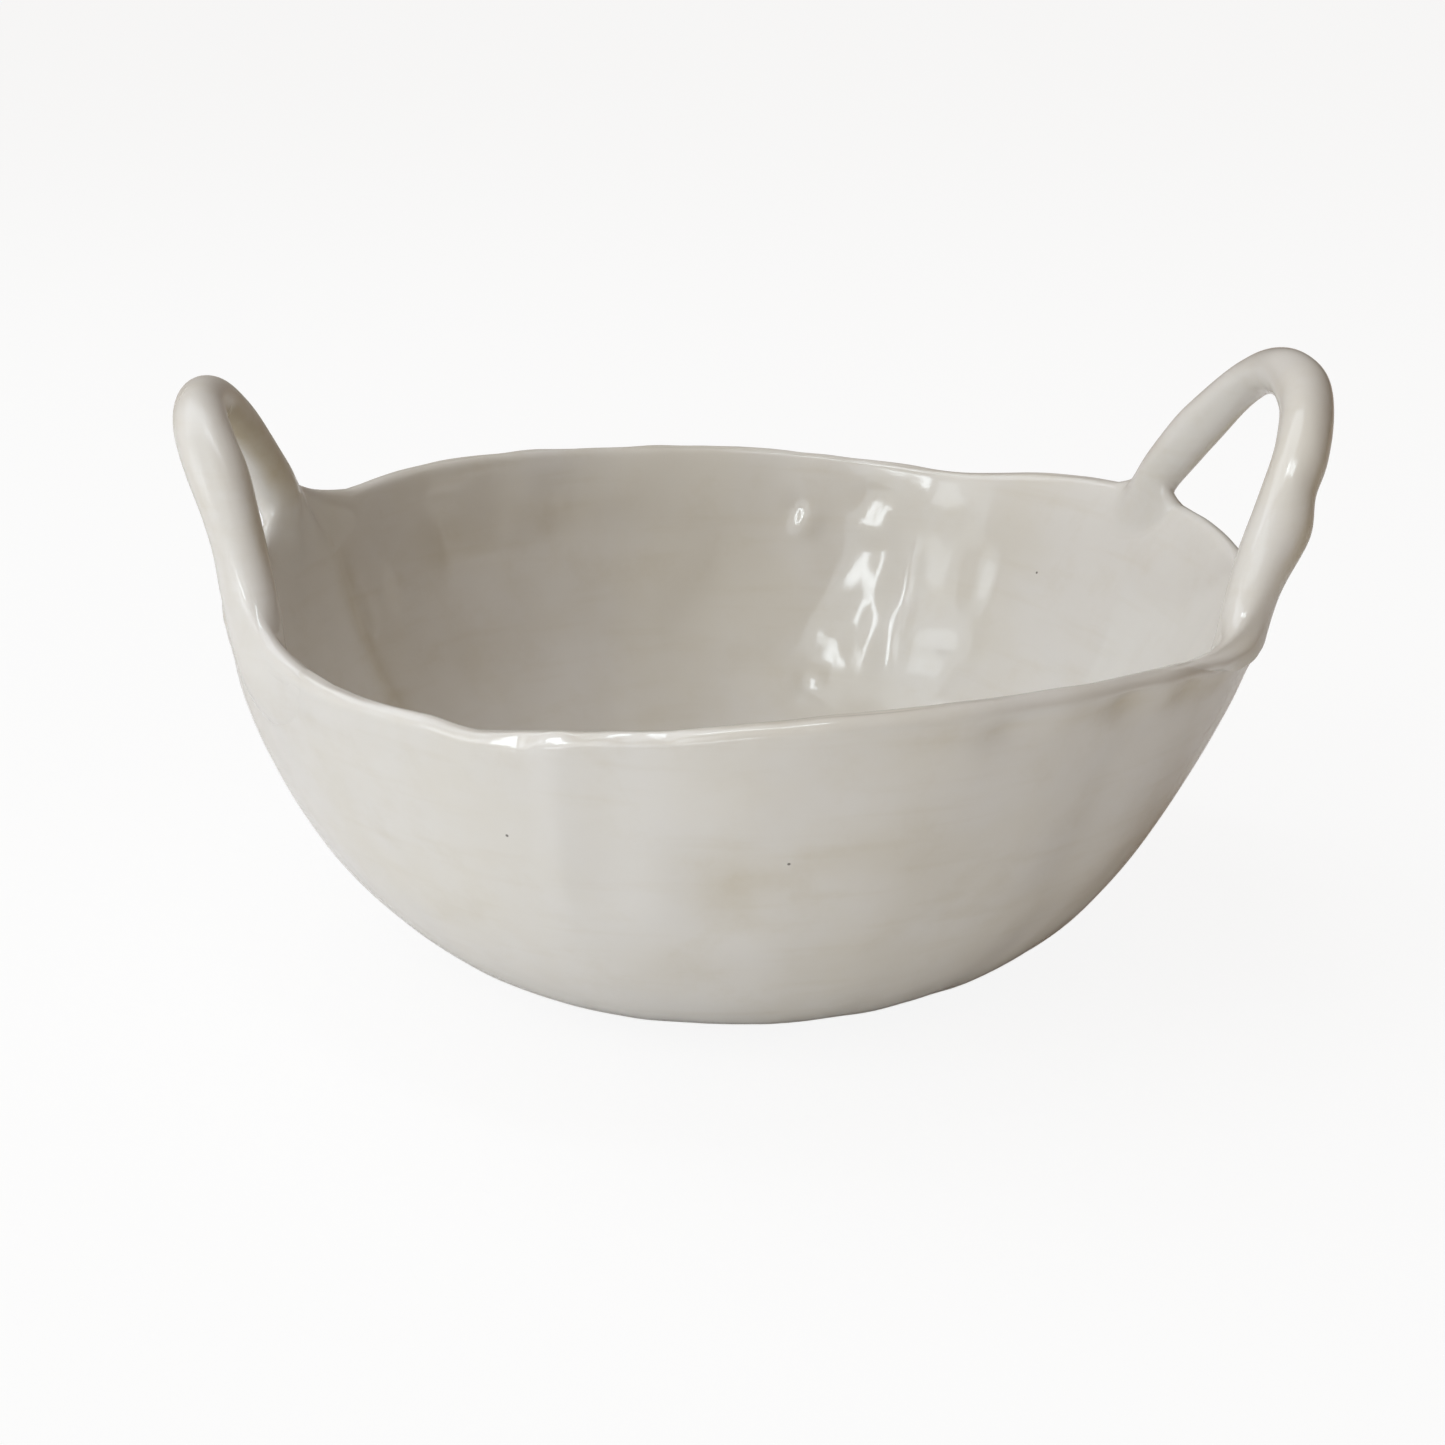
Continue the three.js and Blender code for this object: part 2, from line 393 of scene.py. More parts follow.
lowest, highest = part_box("bowl_shell")
move_points(bowl, np.clip(clay, np.array(lowest), np.array(highest)))
print(len(FLATS), "flats cut on the lip")

# %% [markdown]
# ## Reading the rim
# Each handle foot is wrapped over the lip, so the foot needs to know where the lip's surface is. A ray from
# the middle of the lip finds it: straight up for the crown, and sideways for the two faces of the wall.
# Lengths over the lip are counted from the crown, outwards positive, as a tape laid over it would.

# %% The lip as a place to lay a tape over
ABOVE_BOWL = 0.2
RAY_REACH = 0.02
bowl_surface = BVHTree.FromPolygons([v.co.copy() for v in bowl.data.vertices],
                                    [tuple(p.vertices) for p in bowl.data.polygons])


def over_lip(bearing, tape):
    """Place and outward direction on the shell, at a bearing and a length of tape from the crown."""
    radial = Vector((math.cos(bearing), math.sin(bearing), 0.0))
    up = Vector((0.0, 0.0, 1.0))
    crown = bowl_surface.ray_cast(radial * RIM_RADIUS + up * ABOVE_BOWL, -up)[0]
    lip_middle = crown - up * LIP_RADIUS
    quarter = LIP_RADIUS * math.pi / 2
    if abs(tape) <= quarter:
        start = lip_middle
        turn = tape / LIP_RADIUS
        heading = radial * math.sin(turn) + up * math.cos(turn)
    else:
        lean = math.radians(WALL_LEAN + LEAN_SWAY * math.cos(bearing))
        depth = abs(tape) - quarter
        start = lip_middle - (radial * math.sin(lean) + up * math.cos(lean)) * depth
        heading = radial * math.copysign(1.0, tape)
    place, normal, _, _ = bowl_surface.ray_cast(start, heading, RAY_REACH)
    if normal.dot(heading) < 0:
        normal = -normal
    return np.array(place), np.array(normal)


print("crown at the right:", over_lip(0.0, 0.0)[0])

# %% [markdown]
# ## Measuring the coils
# The arches are measured from their solids. A half plane that swings round the middle of the finger gap
# cuts the coil again and again, and each cut gives the coil's middle and its thickness there.

# %% Measure a coil by cutting it
# In degrees: the bearings of each handle's feet, and the swing over which its arch is cut
FEET = {"right_handle": (-29.0, 30.5), "left_handle": (163.0, 210.5)}
SWING = {"right_handle": (12.0, 168.0), "left_handle": (20.0, 166.0)}


def rim_place(bearing):
    """Crown of the lip at a bearing in degrees."""
    return over_lip(math.radians(bearing), 0.0)[0]


def cut_coil(name, count=24):
    """Middles and radii of a coil from foot to foot, the middle between its feet, and its outward side."""
    node = frame["nodes"][name]
    places = points(node)
    edges = np.array([e.vertices for e in node.data.edges])
    first, second = (rim_place(bearing) for bearing in FEET[name])
    hub = (first + second) / 2
    along = unit(second - first)
    rise = places[np.argmax(places[:, 2])] - hub
    rise = unit(rise - along * (rise @ along))
    outward = np.cross(along, rise)
    middles, radii = [], []
    for angle in np.radians(np.linspace(*SWING[name], count)):
        arm = -along * math.cos(angle) + rise * math.sin(angle)
        side = (places - hub) @ np.cross(outward, arm)
        a, b = edges[:, 0], edges[:, 1]
        cut = side[a] * side[b] < 0
        share = (side[a][cut] / (side[a][cut] - side[b][cut]))[:, None]
        hits = places[a[cut]] * (1 - share) + places[b[cut]] * share
        hits = hits[(hits - hub) @ arm > 0] - hub
        width, depth = hits @ outward, hits @ arm
        twice = arm * (depth.max() + depth.min()) + outward * (width.max() + width.min())
        middles.append(hub + twice / 2)
        radii.append((width.max() - width.min()) / 2)
    print(name, "is", np.round(np.array(radii) * 2000, 1), "mm thick from foot to foot")
    return np.array(middles), np.array(radii), hub, outward


# %% [markdown]
# ## The coil handles
# A curve with a round bevel would make the arch, but it would meet the rim in a hard crease. The potter
# pressed each end over the lip and smeared it out, and the glaze rounded what was left. So each coil is a
# sheet of faces rolled into a tube: rings run round the arch, then spread down each leg until the last ring
# lies on the shell's own surface, all round the foot.

# %% A smooth line through measured values
SIDES = 48
STEPS_BETWEEN = 5
roll = np.linspace(0, 2 * math.pi, SIDES, endpoint=False)


def smooth_line(values, between):
    """A smooth line through measured values, with more values between them."""
    padded = np.concatenate([2 * values[:1] - values[1:2], values, 2 * values[-1:] - values[-2:-1]])
    line = []
    for i in range(1, len(values)):
        a, b, c, d = padded[i - 1], padded[i], padded[i + 1], padded[i + 2]
        for t in np.arange(between) / between:
            line.append(0.5 * (2 * b + (c - a) * t + (2 * a - 5 * b + 4 * c - d) * t**2
                               + (3 * b - a - 3 * c + d) * t**3))
    return np.array(line + [values[-1]])


print("a coil has", SIDES, "sides")

# %% Where a coil is thicker or thinner than round
# Swing and its reach, side of the coil, how much, and how sharply
LUMPS = {
    "right_handle": [(40, 6, 70, -0.0009, 1.5), (30, 7, 70, 0.0008, 1.5), (14, 6, 80, -0.0006, 1.5),
                     (60, 9, 200, 0.0004, 1.5), (118, 10, 180, -0.0004, 1.5), (80, 8, 30, 0.0003, 1.5),
                     (19, 3.5, 345, 0.0004, 6)],
    "left_handle": [(125, 22, 270, 0.0014, 1.5), (60, 9, 180, 0.0005, 1.5), (166, 13, 118, 0.0013, 1.5),
                    (132, 24, 38, 0.0006, 9), (135, 22, 8, -0.0003, 4), (135, 22, 72, -0.0003, 4)],
}


def lumps(name, rows):
    """How much thicker a coil is than round, for each ring and side."""
    swing = np.linspace(*SWING[name], rows)[:, None]
    extra = np.zeros((rows, SIDES))
    for place, reach, side, amount, sharpness in LUMPS[name]:
        facing_it = np.clip(np.cos(roll - math.radians(side)), 0, 1) ** sharpness
        extra += amount * np.exp(-(((swing - place) / reach) ** 2)) * facing_it[None]
    return extra


print({name: len(places) for name, places in LUMPS.items()}, "lumps and hollows")

# %% Rings round a coil
WOBBLE = 0.00022
WOBBLE_SIZE = 0.013
WOBBLE_ROUND = 0.9


def arch_rings(name, middles, radii, hub, outward):
    """Rings round a coil: the angle runs from the side away from the finger gap towards the outside."""
    middles = smooth_line(middles, STEPS_BETWEEN)
    radii = smooth_line(radii, STEPS_BETWEEN)
    heading = unit(np.gradient(middles, axis=0))
    away = middles - hub
    away = away - outward * (away @ outward)[:, None]
    away = unit(away - heading * np.sum(away * heading, axis=1)[:, None])
    out = np.cross(heading, away)
    out = out * np.sign(out @ outward)[:, None]
    spokes = away[:, None] * np.cos(roll)[None, :, None] + out[:, None] * np.sin(roll)[None, :, None]
    thickness = radii[:, None] + lumps(name, len(radii))
    for row, middle in enumerate(middles):
        for side, turn in enumerate(roll):
            place = Vector(middle / WOBBLE_SIZE) + Vector((math.cos(turn), math.sin(turn), 0)) * WOBBLE_ROUND
            thickness[row, side] += WOBBLE * noise.noise(place)
    return middles[:, None] + spokes * thickness[:, :, None], heading


print("a coil wobbles by up to", WOBBLE * 1000, "mm")

# %% [markdown]
# A foot spreads by its own measures: away from the finger gap, towards it, and down the outer and inner
# face of the wall. Each line of the foot leaves the shell flat against it and turns up into the leg, which
# is the hollow curve that a wet finger leaves.

# %% How far each foot spreads
FOOT_ROWS = 16
PINCH_SIDE = math.radians(100)
# Length of each spread, and the share of it that lies along the shell before it turns up. A pinch lifts the
# outer edge of a foot off the shell at an angle.
FOOT_SPREADS = {
    "right_handle": [dict(away=(0.026, 0.38), gap=(0.014, 0.35), out=(0.0050, 0.45), inside=(0.016, 0.35),
                          pinch=1.2),
                     dict(away=(0.012, 0.45), gap=(0.018, 0.25), out=(0.012, 0.45), inside=(0.015, 0.35))],
    "left_handle": [dict(away=(0.030, 0.28), gap=(0.022, 0.28), out=(0.015, 0.40), inside=(0.016, 0.30)),
                    dict(away=(0.024, 0.35), gap=(0.022, 0.35), out=(0.018, 0.45), inside=(0.020, 0.32),
                         pinch=0.5)],
}
widest = max(spread["away"][0] for feet in FOOT_SPREADS.values() for spread in feet)
print("feet spread by up to", widest * 1000, "mm")

# %% Rings down a foot
FOOT_SUNK = 0.00001
PINCH_SUNK = 0.0003
ROOT_DEPTH = 0.0012
INNER_SHARE = 0.9


def foot_rings(name, end, leg_ring, leg_heading):
    """Rings from inside the wall, over the shell's surface and up to a leg. leg_heading points up the leg."""
    spread = FOOT_SPREADS[name][end]
    bearing = math.radians(FEET[name][end])
    turn = -1 if end == 0 else 1
    rings = np.empty((FOOT_ROWS + 1, SIDES, 3))
    for side, angle in enumerate(roll):
        round_rim, over_rim = math.cos(angle), math.sin(angle)
        along, bend = spread["away" if round_rim > 0 else "gap"]
        tape, fold = spread["out" if over_rim > 0 else "inside"]
        along, tape = along * round_rim, tape * over_rim
        edge, normal = over_lip(bearing + turn * along / RIM_RADIUS, tape)
        inner, _ = over_lip(bearing + turn * along * INNER_SHARE / RIM_RADIUS, tape * INNER_SHARE)
        inwards = unit(inner - edge - normal * ((inner - edge) @ normal))
        pinch = spread.get("pinch", 0.0) * max(0.0, math.cos(angle - PINCH_SIDE)) ** 2
        start = edge - normal * (FOOT_SUNK + PINCH_SUNK * pinch)
        finish = leg_ring[side]
        reach = np.linalg.norm(finish - start) * (bend * round_rim**2 + fold * over_rim**2)
        first = start + unit(inwards + normal * pinch) * reach
        second = finish - leg_heading * reach
        rings[0, side] = edge - normal * ROOT_DEPTH
        for row in range(FOOT_ROWS):
            t = row / FOOT_ROWS
            rings[row + 1, side] = ((1 - t) ** 3 * start + 3 * (1 - t) ** 2 * t * first
                                    + 3 * (1 - t) * t**2 * second + t**3 * finish)
    return rings


def ease(rings, rows, times=10):
    """Rounds the bend between neighbouring rings, as a damp sponge does."""
    for _ in range(times):
        rings[rows] = (rings[rows - 1] + 2 * rings[rows] + rings[rows + 1]) / 4


print("a foot has", FOOT_ROWS + 1, "rings")

# %% [markdown]
# With its rings known, a handle is made as a sheet: a flat grid with one column of faces for each side of
# the coil is rolled onto the rings, its edges are joined into a seam, and both ends are closed where they
# are out of sight, inside the wall.

# %% Roll each handle from a sheet of faces
EASED_FROM = 4
EASED_PAST_FOOT = 9
SMOOTH_BELOW = math.radians(50)


def roll_handle(name, piece_name):
    """A closed coil handle: a grid rolled along its rings, joined at its seam and capped inside the wall."""
    rings, heading = arch_rings(name, *cut_coil(name))
    first = foot_rings(name, 0, rings[0], heading[0])
    second = foot_rings(name, 1, rings[-1], -heading[-1])[::-1]
    rings = np.clip(np.concatenate([first, rings, second]), *np.array(solid_box))
    rows = len(rings)
    bend = np.arange(EASED_FROM, FOOT_ROWS + EASED_PAST_FOOT)
    ease(rings, bend)
    ease(rings, rows - 1 - bend)

    bpy.ops.object.select_all(action="DESELECT")
    bpy.ops.mesh.primitive_grid_add(x_subdivisions=SIDES, y_subdivisions=rows - 1, size=2.0)
    handle = bpy.context.object
    handle.name = piece_name
    sheet = points(handle)
    column = np.rint((sheet[:, 0] + 1) / 2 * SIDES).astype(int) % SIDES
    row = np.rint((sheet[:, 1] + 1) / 2 * (rows - 1)).astype(int)
    move_points(handle, rings[row, column])

    bpy.ops.object.mode_set(mode="EDIT")
    bpy.ops.mesh.select_all(action="SELECT")
    bpy.ops.mesh.remove_doubles(threshold=0.0000001)
    bpy.ops.mesh.select_all(action="DESELECT")
    bpy.ops.mesh.select_non_manifold()
    bpy.ops.mesh.edge_face_add()
    bpy.ops.mesh.select_all(action="SELECT")
    bpy.ops.mesh.normals_make_consistent(inside=False)
    bpy.ops.object.mode_set(mode="OBJECT")
    bpy.ops.object.shade_smooth_by_angle(angle=SMOOTH_BELOW)
    print(piece_name, len(handle.data.polygons), "faces")
    return handle


right_handle = roll_handle("right_handle", "right_coil_handle")
left_handle = roll_handle("left_handle", "left_coil_handle")

# %% [markdown]
# ## The glaze
# One glaze covers everything: a warm white with soft clouds, brush strokes that run round the bowl, a thin
# brown where it ran off an edge, and a few tiny iron specks. The same brown also paints shade on the handles'
# shaded side, in the hollows under the front lip and in the crease under the right front foot. It is glossy
# and slightly uneven, so highlights wobble. All of it comes from noise in the piece's own coordinates. Sums
# of sockets are hard to read as nodes, so a socket is first wrapped in a small class that can be added and
# multiplied.

# %% Writing shader sums as sums
class Wire:
    """A socket of a finish, so that sums over a surface read as sums."""

    def __init__(self, finish, socket):
        self.finish = finish
        self.socket = socket

    def sum(self, operation, *terms):
        """A Math node on sockets and numbers."""
        return self.finish.node("ShaderNodeMath", {"operation": operation}, dict(enumerate(terms)))

    def __add__(self, other):
        return self.sum("ADD", self, other)

    def __mul__(self, other):
        return self.sum("MULTIPLY", self, other)

    __radd__ = __add__
    __rmul__ = __mul__


# %% Adding nodes one call at a time
class Finish:
    """The nodes of a material, or of the room around it."""

    def __init__(self, owner):
        owner.use_nodes = True
        self.owner = owner
        self.tree = owner.node_tree
        self.tree.nodes.clear()

    def node(self, kind, settings=None, inputs=None, output=0):
        """A new node: its settings first, then the values or links of its sockets."""
        new = self.tree.nodes.new(kind)
        for setting, value in (settings or {}).items():
            setattr(new, setting, value)
        for socket, value in (inputs or {}).items():
            if isinstance(value, Wire):
                self.tree.links.new(value.socket, new.inputs[socket])
            else:
                new.inputs[socket].default_value = value
        return Wire(self, new.outputs[output]) if len(new.outputs) else None

    def noise(self, place, scale, detail, roughness=0.5):
        """Clouds of a size, between 0 and 1."""
        return self.node("ShaderNodeTexNoise", None, {
            "Vector": place, "Scale": scale, "Detail": detail, "Roughness": roughness})

    def mix(self, share, first, second):
        """Two colours mixed by a share of the second."""
        return self.node("ShaderNodeMix", {"data_type": "RGBA"}, {0: share, 6: first, 7: second}, 2)

    def ramp(self, value, low, high):
        """0 below low, 1 above high, smooth between."""
        return self.node("ShaderNodeMapRange", {"interpolation_type": "SMOOTHSTEP"},
                         {"Value": value, "From Min": low, "From Max": high})


# %% The warm white glaze
GLAZE = (0.755, 0.74, 0.71, 1)
# Brown of thin glaze, also used as painted shade
GLAZE_THIN_AND_SHADE = (0.58, 0.52, 0.40, 1)
GLAZE_CLOUD = (0.70, 0.665, 0.585, 1)
SPECK = (0.05, 0.04, 0.03, 1)
SPECK_EDGE = 0.00045
SPECK_MIDDLE = 0.0002
BRUSHING = (30.0, 30.0, 260.0)
CLOUD_SHARE = 0.6
WORN_SHARE = 0.14
SPECK_SHARE = 0.8
THIN_EVERYWHERE = 0.4
SMOOTHEST = 0.06
UNEVEN_GLOSS = 0.05


def warm_white_glaze(name, specks):
    """The glaze as a material, with iron specks at the given places."""
    finish = Finish(bpy.data.materials.new(name))
    place = finish.node("ShaderNodeTexCoord", output="Object")
    brushed = finish.node("ShaderNodeVectorMath", {"operation": "MULTIPLY"}, {0: place, 1: BRUSHING})
    clouds = finish.noise(place, scale=14.0, detail=4.0, roughness=0.6)
    mottle = finish.noise(place, scale=70.0, detail=4.0, roughness=0.65)
    strokes = finish.noise(brushed, scale=1.0, detail=3.0)
    thin_and_shade = finish.node("ShaderNodeAttribute", {"attribute_name": "thin_glaze_and_painted_shade"}, output="Fac")
    dry = finish.node("ShaderNodeAttribute", {"attribute_name": "dry_glaze"}, output="Fac")

    colour = finish.mix(finish.ramp(clouds, 0.42, 0.68) * CLOUD_SHARE, GLAZE, GLAZE_CLOUD)
    worn = finish.ramp(mottle, 0.48, 0.75) * WORN_SHARE + finish.ramp(strokes, 0.5, 0.8) * WORN_SHARE
    # The brown mixed in here is thin glaze, and painted shade under the front lip, in a crease and on the
    # handles' shaded side
    colour = finish.mix(worn + thin_and_shade * (mottle + THIN_EVERYWHERE), colour, GLAZE_THIN_AND_SHADE)
    for speck in specks:
        apart = finish.node("ShaderNodeVectorMath", {"operation": "DISTANCE"}, {0: place, 1: speck}, "Value")
        colour = finish.mix(finish.ramp(apart, SPECK_EDGE, SPECK_MIDDLE) * SPECK_SHARE, colour, SPECK)

    ripple = finish.noise(place, scale=70.0, detail=0.0)
    shader = finish.node("ShaderNodeBsdfPrincipled", None, {
        "Base Color": colour,
        "Roughness": finish.ramp(clouds, 0.3, 0.7) * UNEVEN_GLOSS + SMOOTHEST + dry,
        "IOR": 1.5,
        "Normal": finish.node("ShaderNodeBump", None,
                              {"Height": ripple, "Strength": 0.085, "Distance": 0.003}),
    })
    finish.node("ShaderNodeOutputMaterial", None, {"Surface": shader})
    print(name, "has", len(finish.tree.nodes), "nodes")
    return finish.owner


# %% [markdown]
# ## Thin glaze, painted shade and dry places
# Glaze runs off edges and out of the hollows that a finger wiped, and there the clay shows through, browner.
# The same brown is painted as shade in the hollows under the front lip, in the crease under the right front
# foot and on the handles' side that is turned away from the light.
# Where it is a little dry it shines less. A painted image could hold this, but an amount kept at each point
# of the mesh is simpler, stays with the clay, and is read by the glaze by its name.

# %% Keeping amounts on a piece
def keep_amounts(piece, name, amounts):
    """Keeps an amount at each point of a piece, for its finish to read."""
    layer = piece.data.attributes.new(name, "FLOAT", "POINT")
    layer.data.foreach_set("value", np.clip(amounts, 0, 1).astype(np.float32))
    print(piece.name, name, "up to", round(float(np.max(amounts)), 2))


def patch(middle, height, width, tall, amount, face):
    """A patch of thin glaze on one face of the shell, at a bearing and a height."""
    up = clay[:, 2] - height
    return amount * np.exp(-((round_from(middle) / width) ** 2) - (up / tall) ** 2) * face


# %% Thin glaze and painted shade on the shell
# Bearing, height, width, height of the patch, amount
OUTSIDE_PATCHES = [
    (-91.5, 0.056, 0.008, 0.009, 0.55), (-88.0, 0.060, 0.006, 0.004, 0.35),
    (-98.0, 0.034, 0.012, 0.008, 0.25), (-79.0, 0.064, 0.010, 0.006, 0.22),
    (-72.0, 0.062, 0.008, 0.008, 0.18), (-104.0, 0.076, 0.006, 0.016, 0.15),
]
INSIDE_PATCHES = [
    (156.0, 0.062, 0.003, 0.022, 0.50), (137.0, 0.077, 0.012, 0.006, 0.30),
    (117.0, 0.079, 0.014, 0.005, 0.25), (150.0, 0.050, 0.020, 0.015, 0.20),
    (100.0, 0.060, 0.030, 0.010, 0.15),
]
# Hollows under the front-right lip and the crease under the right front foot, browned partly as painted shade
# and partly as thin glaze
# Bearing, distance below the crown, width, height, amount
LIP_SHADE_AND_THIN_PATCHES = [
    (-65.0, 0.0065, 0.0060, 0.0022, 0.35), (-57.0, 0.0060, 0.0080, 0.0020, 0.25),
    (-50.5, 0.0060, 0.0060, 0.0030, 0.80), (-41.0, 0.0060, 0.0070, 0.0035, 0.90),
    (-34.0, 0.0060, 0.0060, 0.0035, 0.80), (-73.0, 0.0070, 0.0080, 0.0025, 0.20),
]
LIP_THINNING = 0.03
LIP_THIN_REACH = 0.0030
thin_and_shade = LIP_THINNING * np.exp(-((below / LIP_THIN_REACH) ** 2))
for mark in LIP_SHADE_AND_THIN_PATCHES:
    thin_and_shade += pressed(*mark, outer_face)
for mark in OUTSIDE_PATCHES:
    thin_and_shade += patch(*mark, outer_face)
for mark in INSIDE_PATCHES:
    thin_and_shade += patch(*mark, inner_face)
keep_amounts(bowl, "thin_glaze_and_painted_shade", thin_and_shade)
keep_amounts(bowl, "dry_glaze", np.zeros(len(clay)))

# %% Painted shade, thin and dry glaze on the handles
# The side of the handles that is painted browner as shade, and how squarely a point faces it where the
# painted shade starts and is full
SHADED_SIDE = unit(np.array([0.85, -0.30, -0.35]))
SHADED_SIDE_RANGE = (0.55, 0.90)
# Heights between which a foot becomes a leg
LEG_RANGE = (0.099, 0.109)
# The crease under the right front foot, browned partly as painted shade and partly as thin glaze: its
# bearing, its tape from the crown, its size and how strongly it is browned
CREASE_BEARING = -31.0
CREASE_TAPE = 0.004
CREASE_SIZE = 0.005
CREASE_SHADE_AND_BROWN = 0.7
DRYNESS = {"right_coil_handle": 0.0, "left_coil_handle": 0.18}

crease_middle = over_lip(math.radians(CREASE_BEARING), CREASE_TAPE)[0]
for handle in (right_handle, left_handle):
    # Handle faces turned right, forward and down, away from the light, are browned on the legs as painted
    # shade
    painted_shade_side = np.interp(facing(handle) @ SHADED_SIDE, SHADED_SIDE_RANGE, (0, 1))
    risen = np.interp(points(handle)[:, 2], LEG_RANGE, (0, 1))
    # The crease under the right front foot gets painted shade together with some thin-glaze brown
    crease = np.exp(-np.sum(((points(handle) - crease_middle) / CREASE_SIZE) ** 2, axis=1))
    keep_amounts(handle, "thin_glaze_and_painted_shade", painted_shade_side * risen + CREASE_SHADE_AND_BROWN * crease)
    keep_amounts(handle, "dry_glaze", risen * DRYNESS[handle.name])

# %% [markdown]
# ## Iron specks
# Bits of iron in the clay melt into the glaze as dark dots, less than a millimetre across. A noise would
# scatter them everywhere, and the real bowl has only a few, so each one is put at its place on the wall.

# %% Places of the specks
WALL_RADIUS = 0.1
TOO_FAR = 10.0


def spot(middle, height, face):
    """The point of the shell nearest to a bearing and a height on one face."""
    across = np.radians((bearing - middle + 180) % 360 - 180) * WALL_RADIUS
    apart = np.hypot(across, clay[:, 2] - height) + TOO_FAR * (face < 0.5)
    return Vector(clay[np.argmin(apart)])


SPECKS = [
    spot(-113.5, 0.067, outer_face), spot(-85.9, 0.064, outer_face), spot(42.4, 0.070, inner_face),
    spot(12.0, 0.052, outer_face), spot(74.0, 0.071, outer_face), spot(128.0, 0.044, outer_face),
    spot(-160.0, 0.060, outer_face), spot(-70.0, 0.050, inner_face), spot(-140.0, 0.066, inner_face),
]
print(len(SPECKS), "iron specks")

# %% [markdown]
# ## Coating the pieces
# Each piece is dipped: it gets its own coat of the glaze, named for the slot of the part that it fills, so
# that the part can be given another glaze later. It is then hung on the root body, and the solid that it
# stands in for is hidden.

# %% Coat the pieces
for piece, node, slot, specks in ((bowl, "bowl_shell", "shell_glaze", SPECKS),
                                  (right_handle, "right_handle", "right_handle_glaze", []),
                                  (left_handle, "left_handle", "left_handle_glaze", [])):
    piece.data.materials.clear()
    piece.data.materials.append(warm_white_glaze(slot, specks))
    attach(piece, "root")
    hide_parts(node)

# %% [markdown]
# ## The table
# The bowl stands on white paper. Paper under soft light comes out grey in a picture, so the camera sees
# most of it as plain white, and the small rest keeps the shadow that shows where the bowl stands. Light
# that bounces off the paper onto the clay is that of ordinary pale paper.

# %% Floor
SHOWN_WHITE = 0.90
PAPER = (0.92, 0.92, 0.92, 1)
WHITE = (1, 1, 1, 1)
PAPER_SIZE = 60.0
PAPER_TOP = -0.0003

bpy.ops.object.select_all(action="DESELECT")
bpy.ops.mesh.primitive_plane_add(size=PAPER_SIZE, location=(0, 0, PAPER_TOP))
floor = bpy.context.object
floor.name = "floor"
paper = Finish(bpy.data.materials.new("white_paper"))
ray = paper.node("ShaderNodeLightPath", output="Is Camera Ray")
matt = paper.node("ShaderNodeBsdfDiffuse", None, {"Color": PAPER})
glow = paper.node("ShaderNodeEmission", None, {"Color": WHITE, "Strength": 1.0})
both = paper.node("ShaderNodeMixShader", None, {0: ray * SHOWN_WHITE, 1: matt, 2: glow})
paper.node("ShaderNodeOutputMaterial", None, {"Surface": both})
floor.data.materials.append(paper.owner)
print("floor", [round(side) for side in floor.dimensions], "m")

# %% [markdown]
# ## The light
# A large window to the front left gives the soft shading, and two brighter panes in it give the small, hard
# highlights on the lip and inside. A low card fills the front, and a card and a strip overhead light the
# crown of the lip. All are cool; the far side of the room is dim and warm, which browns the shaded clay.

# %% Lamps
def lamp(name, place, aim, size, power, colour):
    """A soft box that faces a point."""
    data = bpy.data.lights.new(name, "AREA")
    data.shape = "RECTANGLE"
    data.size, data.size_y = size
    data.energy = power
    data.color = colour
    box = bpy.data.objects.new(name, data)
    bpy.context.scene.collection.objects.link(box)
    box.location = place
    box.visible_camera = False
    box.rotation_euler = (Vector(aim) - Vector(place)).to_track_quat("-Z", "Y").to_euler()
    print(name, power, "W")


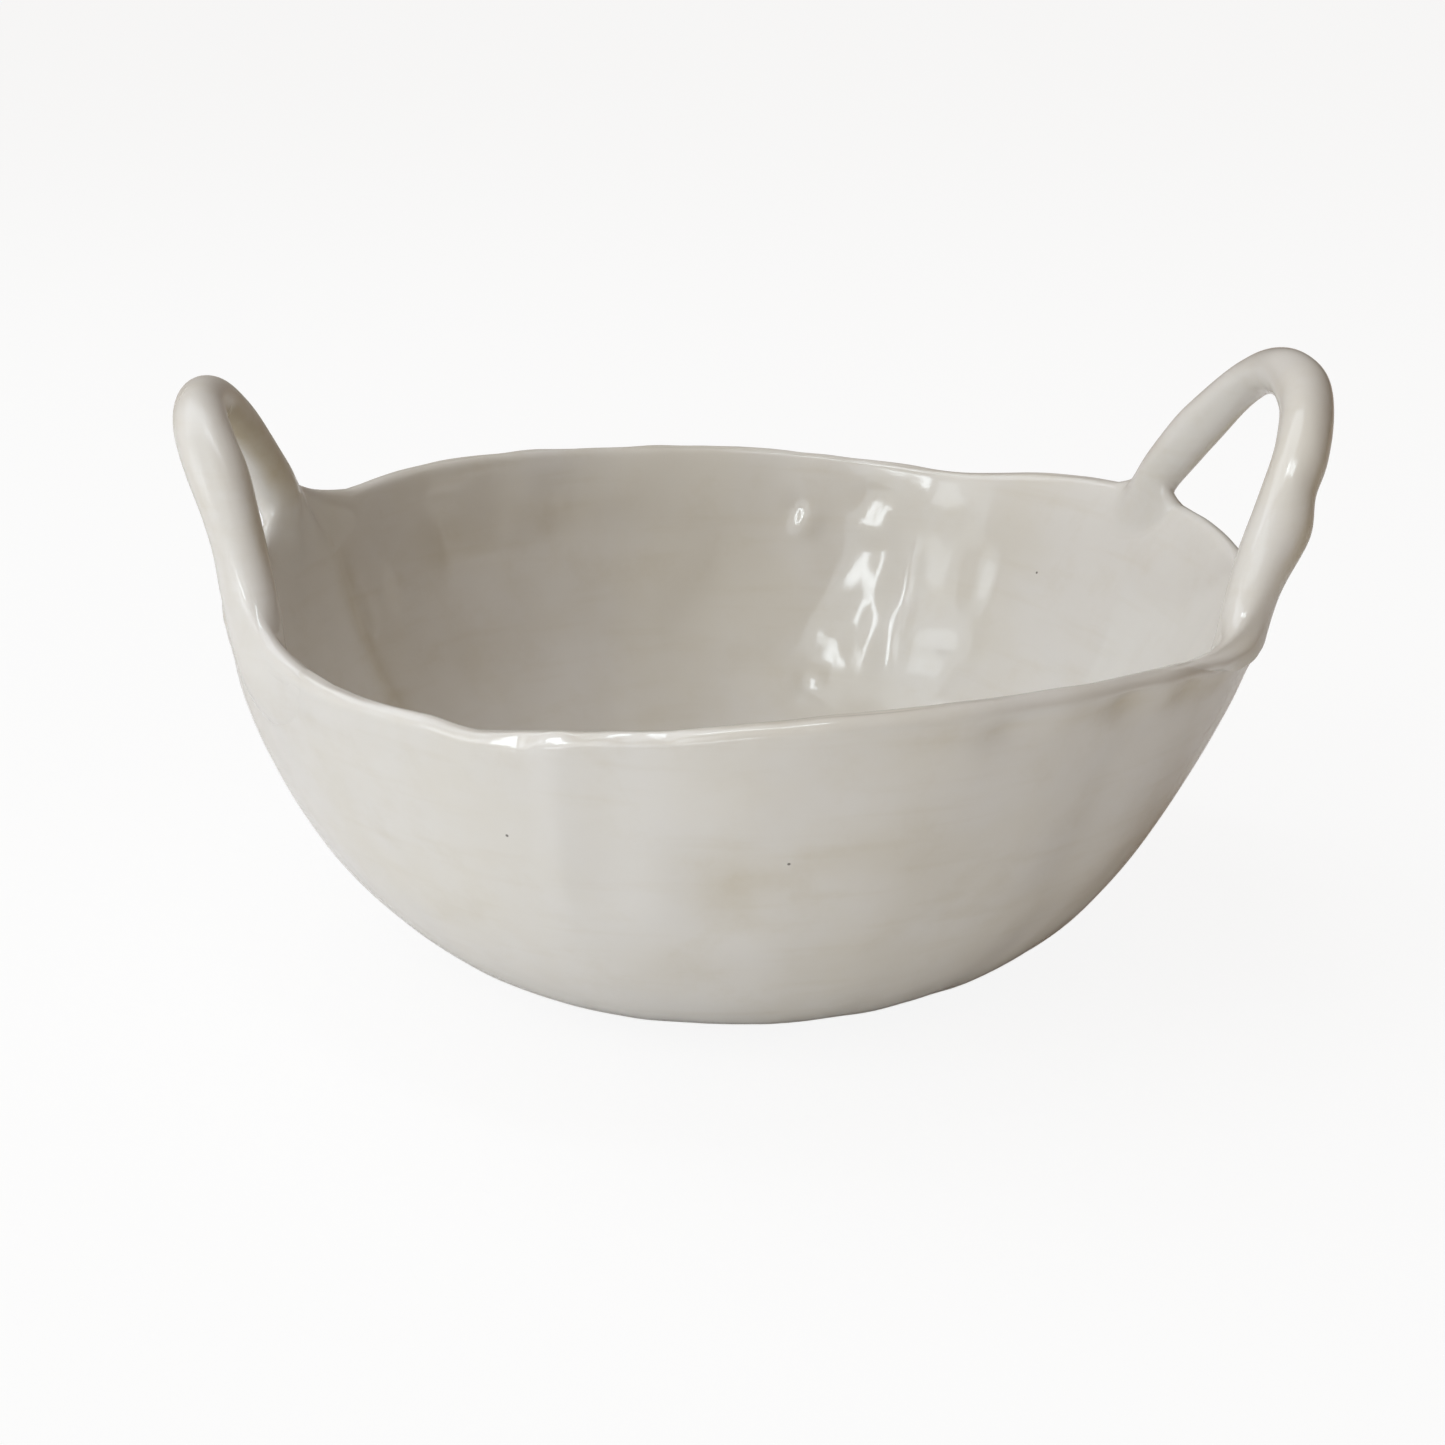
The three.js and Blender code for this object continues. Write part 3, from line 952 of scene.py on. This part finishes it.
BOWL = (0, 0, 0.07)
LOW_FRONT = (0, 0, 0.04)
lamp("window_left", (-1.76, -1.36, 1.56), BOWL, (2.32, 2.08), 21.5, (0.82, 0.92, 1.0))
lamp("bright_pane", (-0.98, -0.92, 1.08), BOWL, (0.13, 0.45), 1.8, (0.85, 0.94, 1.0))
lamp("second_pane", (-1.16, -0.60, 0.84), BOWL, (0.30, 0.30), 0.65, (0.85, 0.94, 1.0))
lamp("front_card", (-0.45, -1.2, 0.10), LOW_FRONT, (1.0, 0.18), 3.4, (0.87, 0.945, 1.0))
lamp("ceiling_card", (-0.6, 0.3, 1.3), BOWL, (0.9, 1.1), 6.0, (0.82, 0.91, 1.0))
lamp("ceiling_strip", (-0.137, -0.200, 1.565), BOWL, (0.75, 0.16), 3.0, (0.84, 0.93, 1.0))

# %% The room around
ROOM_COLOUR = (1.0, 0.74, 0.51)
ROOM_LEVEL = 0.195
ROOM_SLOPE = (-0.14, -0.05, 0.12)
SHOWN_BACKDROP = (0.96, 0.96, 0.96, 1)

bpy.context.scene.world = bpy.data.worlds.new("room")
room = Finish(bpy.context.scene.world)
around = room.node("ShaderNodeTexCoord", output="Generated")
slope = room.node("ShaderNodeVectorMath", {"operation": "DOT_PRODUCT"}, {0: around, 1: ROOM_SLOPE}, "Value")
dim = room.node("ShaderNodeVectorMath", {"operation": "SCALE"}, {0: ROOM_COLOUR, "Scale": slope + ROOM_LEVEL})
lit = room.node("ShaderNodeBackground", None, {"Color": dim, "Strength": 1.0})
seen = room.node("ShaderNodeBackground", None, {"Color": SHOWN_BACKDROP, "Strength": 1.0})
ray = room.node("ShaderNodeLightPath", output="Is Camera Ray")
both = room.node("ShaderNodeMixShader", None, {0: ray, 1: lit, 2: seen})
room.node("ShaderNodeOutputWorld", None, {"Surface": both})
bpy.context.scene.view_settings.view_transform = "Standard"
print("room has", len(room.tree.nodes), "nodes")

# %% [markdown]
# ## Measuring up
# Glaze and finger marks must not make the bowl larger than the solids say, so the shell's points and the
# handles' rings are held inside the solids' boxes, and the solids' box is printed at the end.

# %% Print the solids' box
print("solids ", np.round(np.array(solid_box) * 1000, 2).tolist())
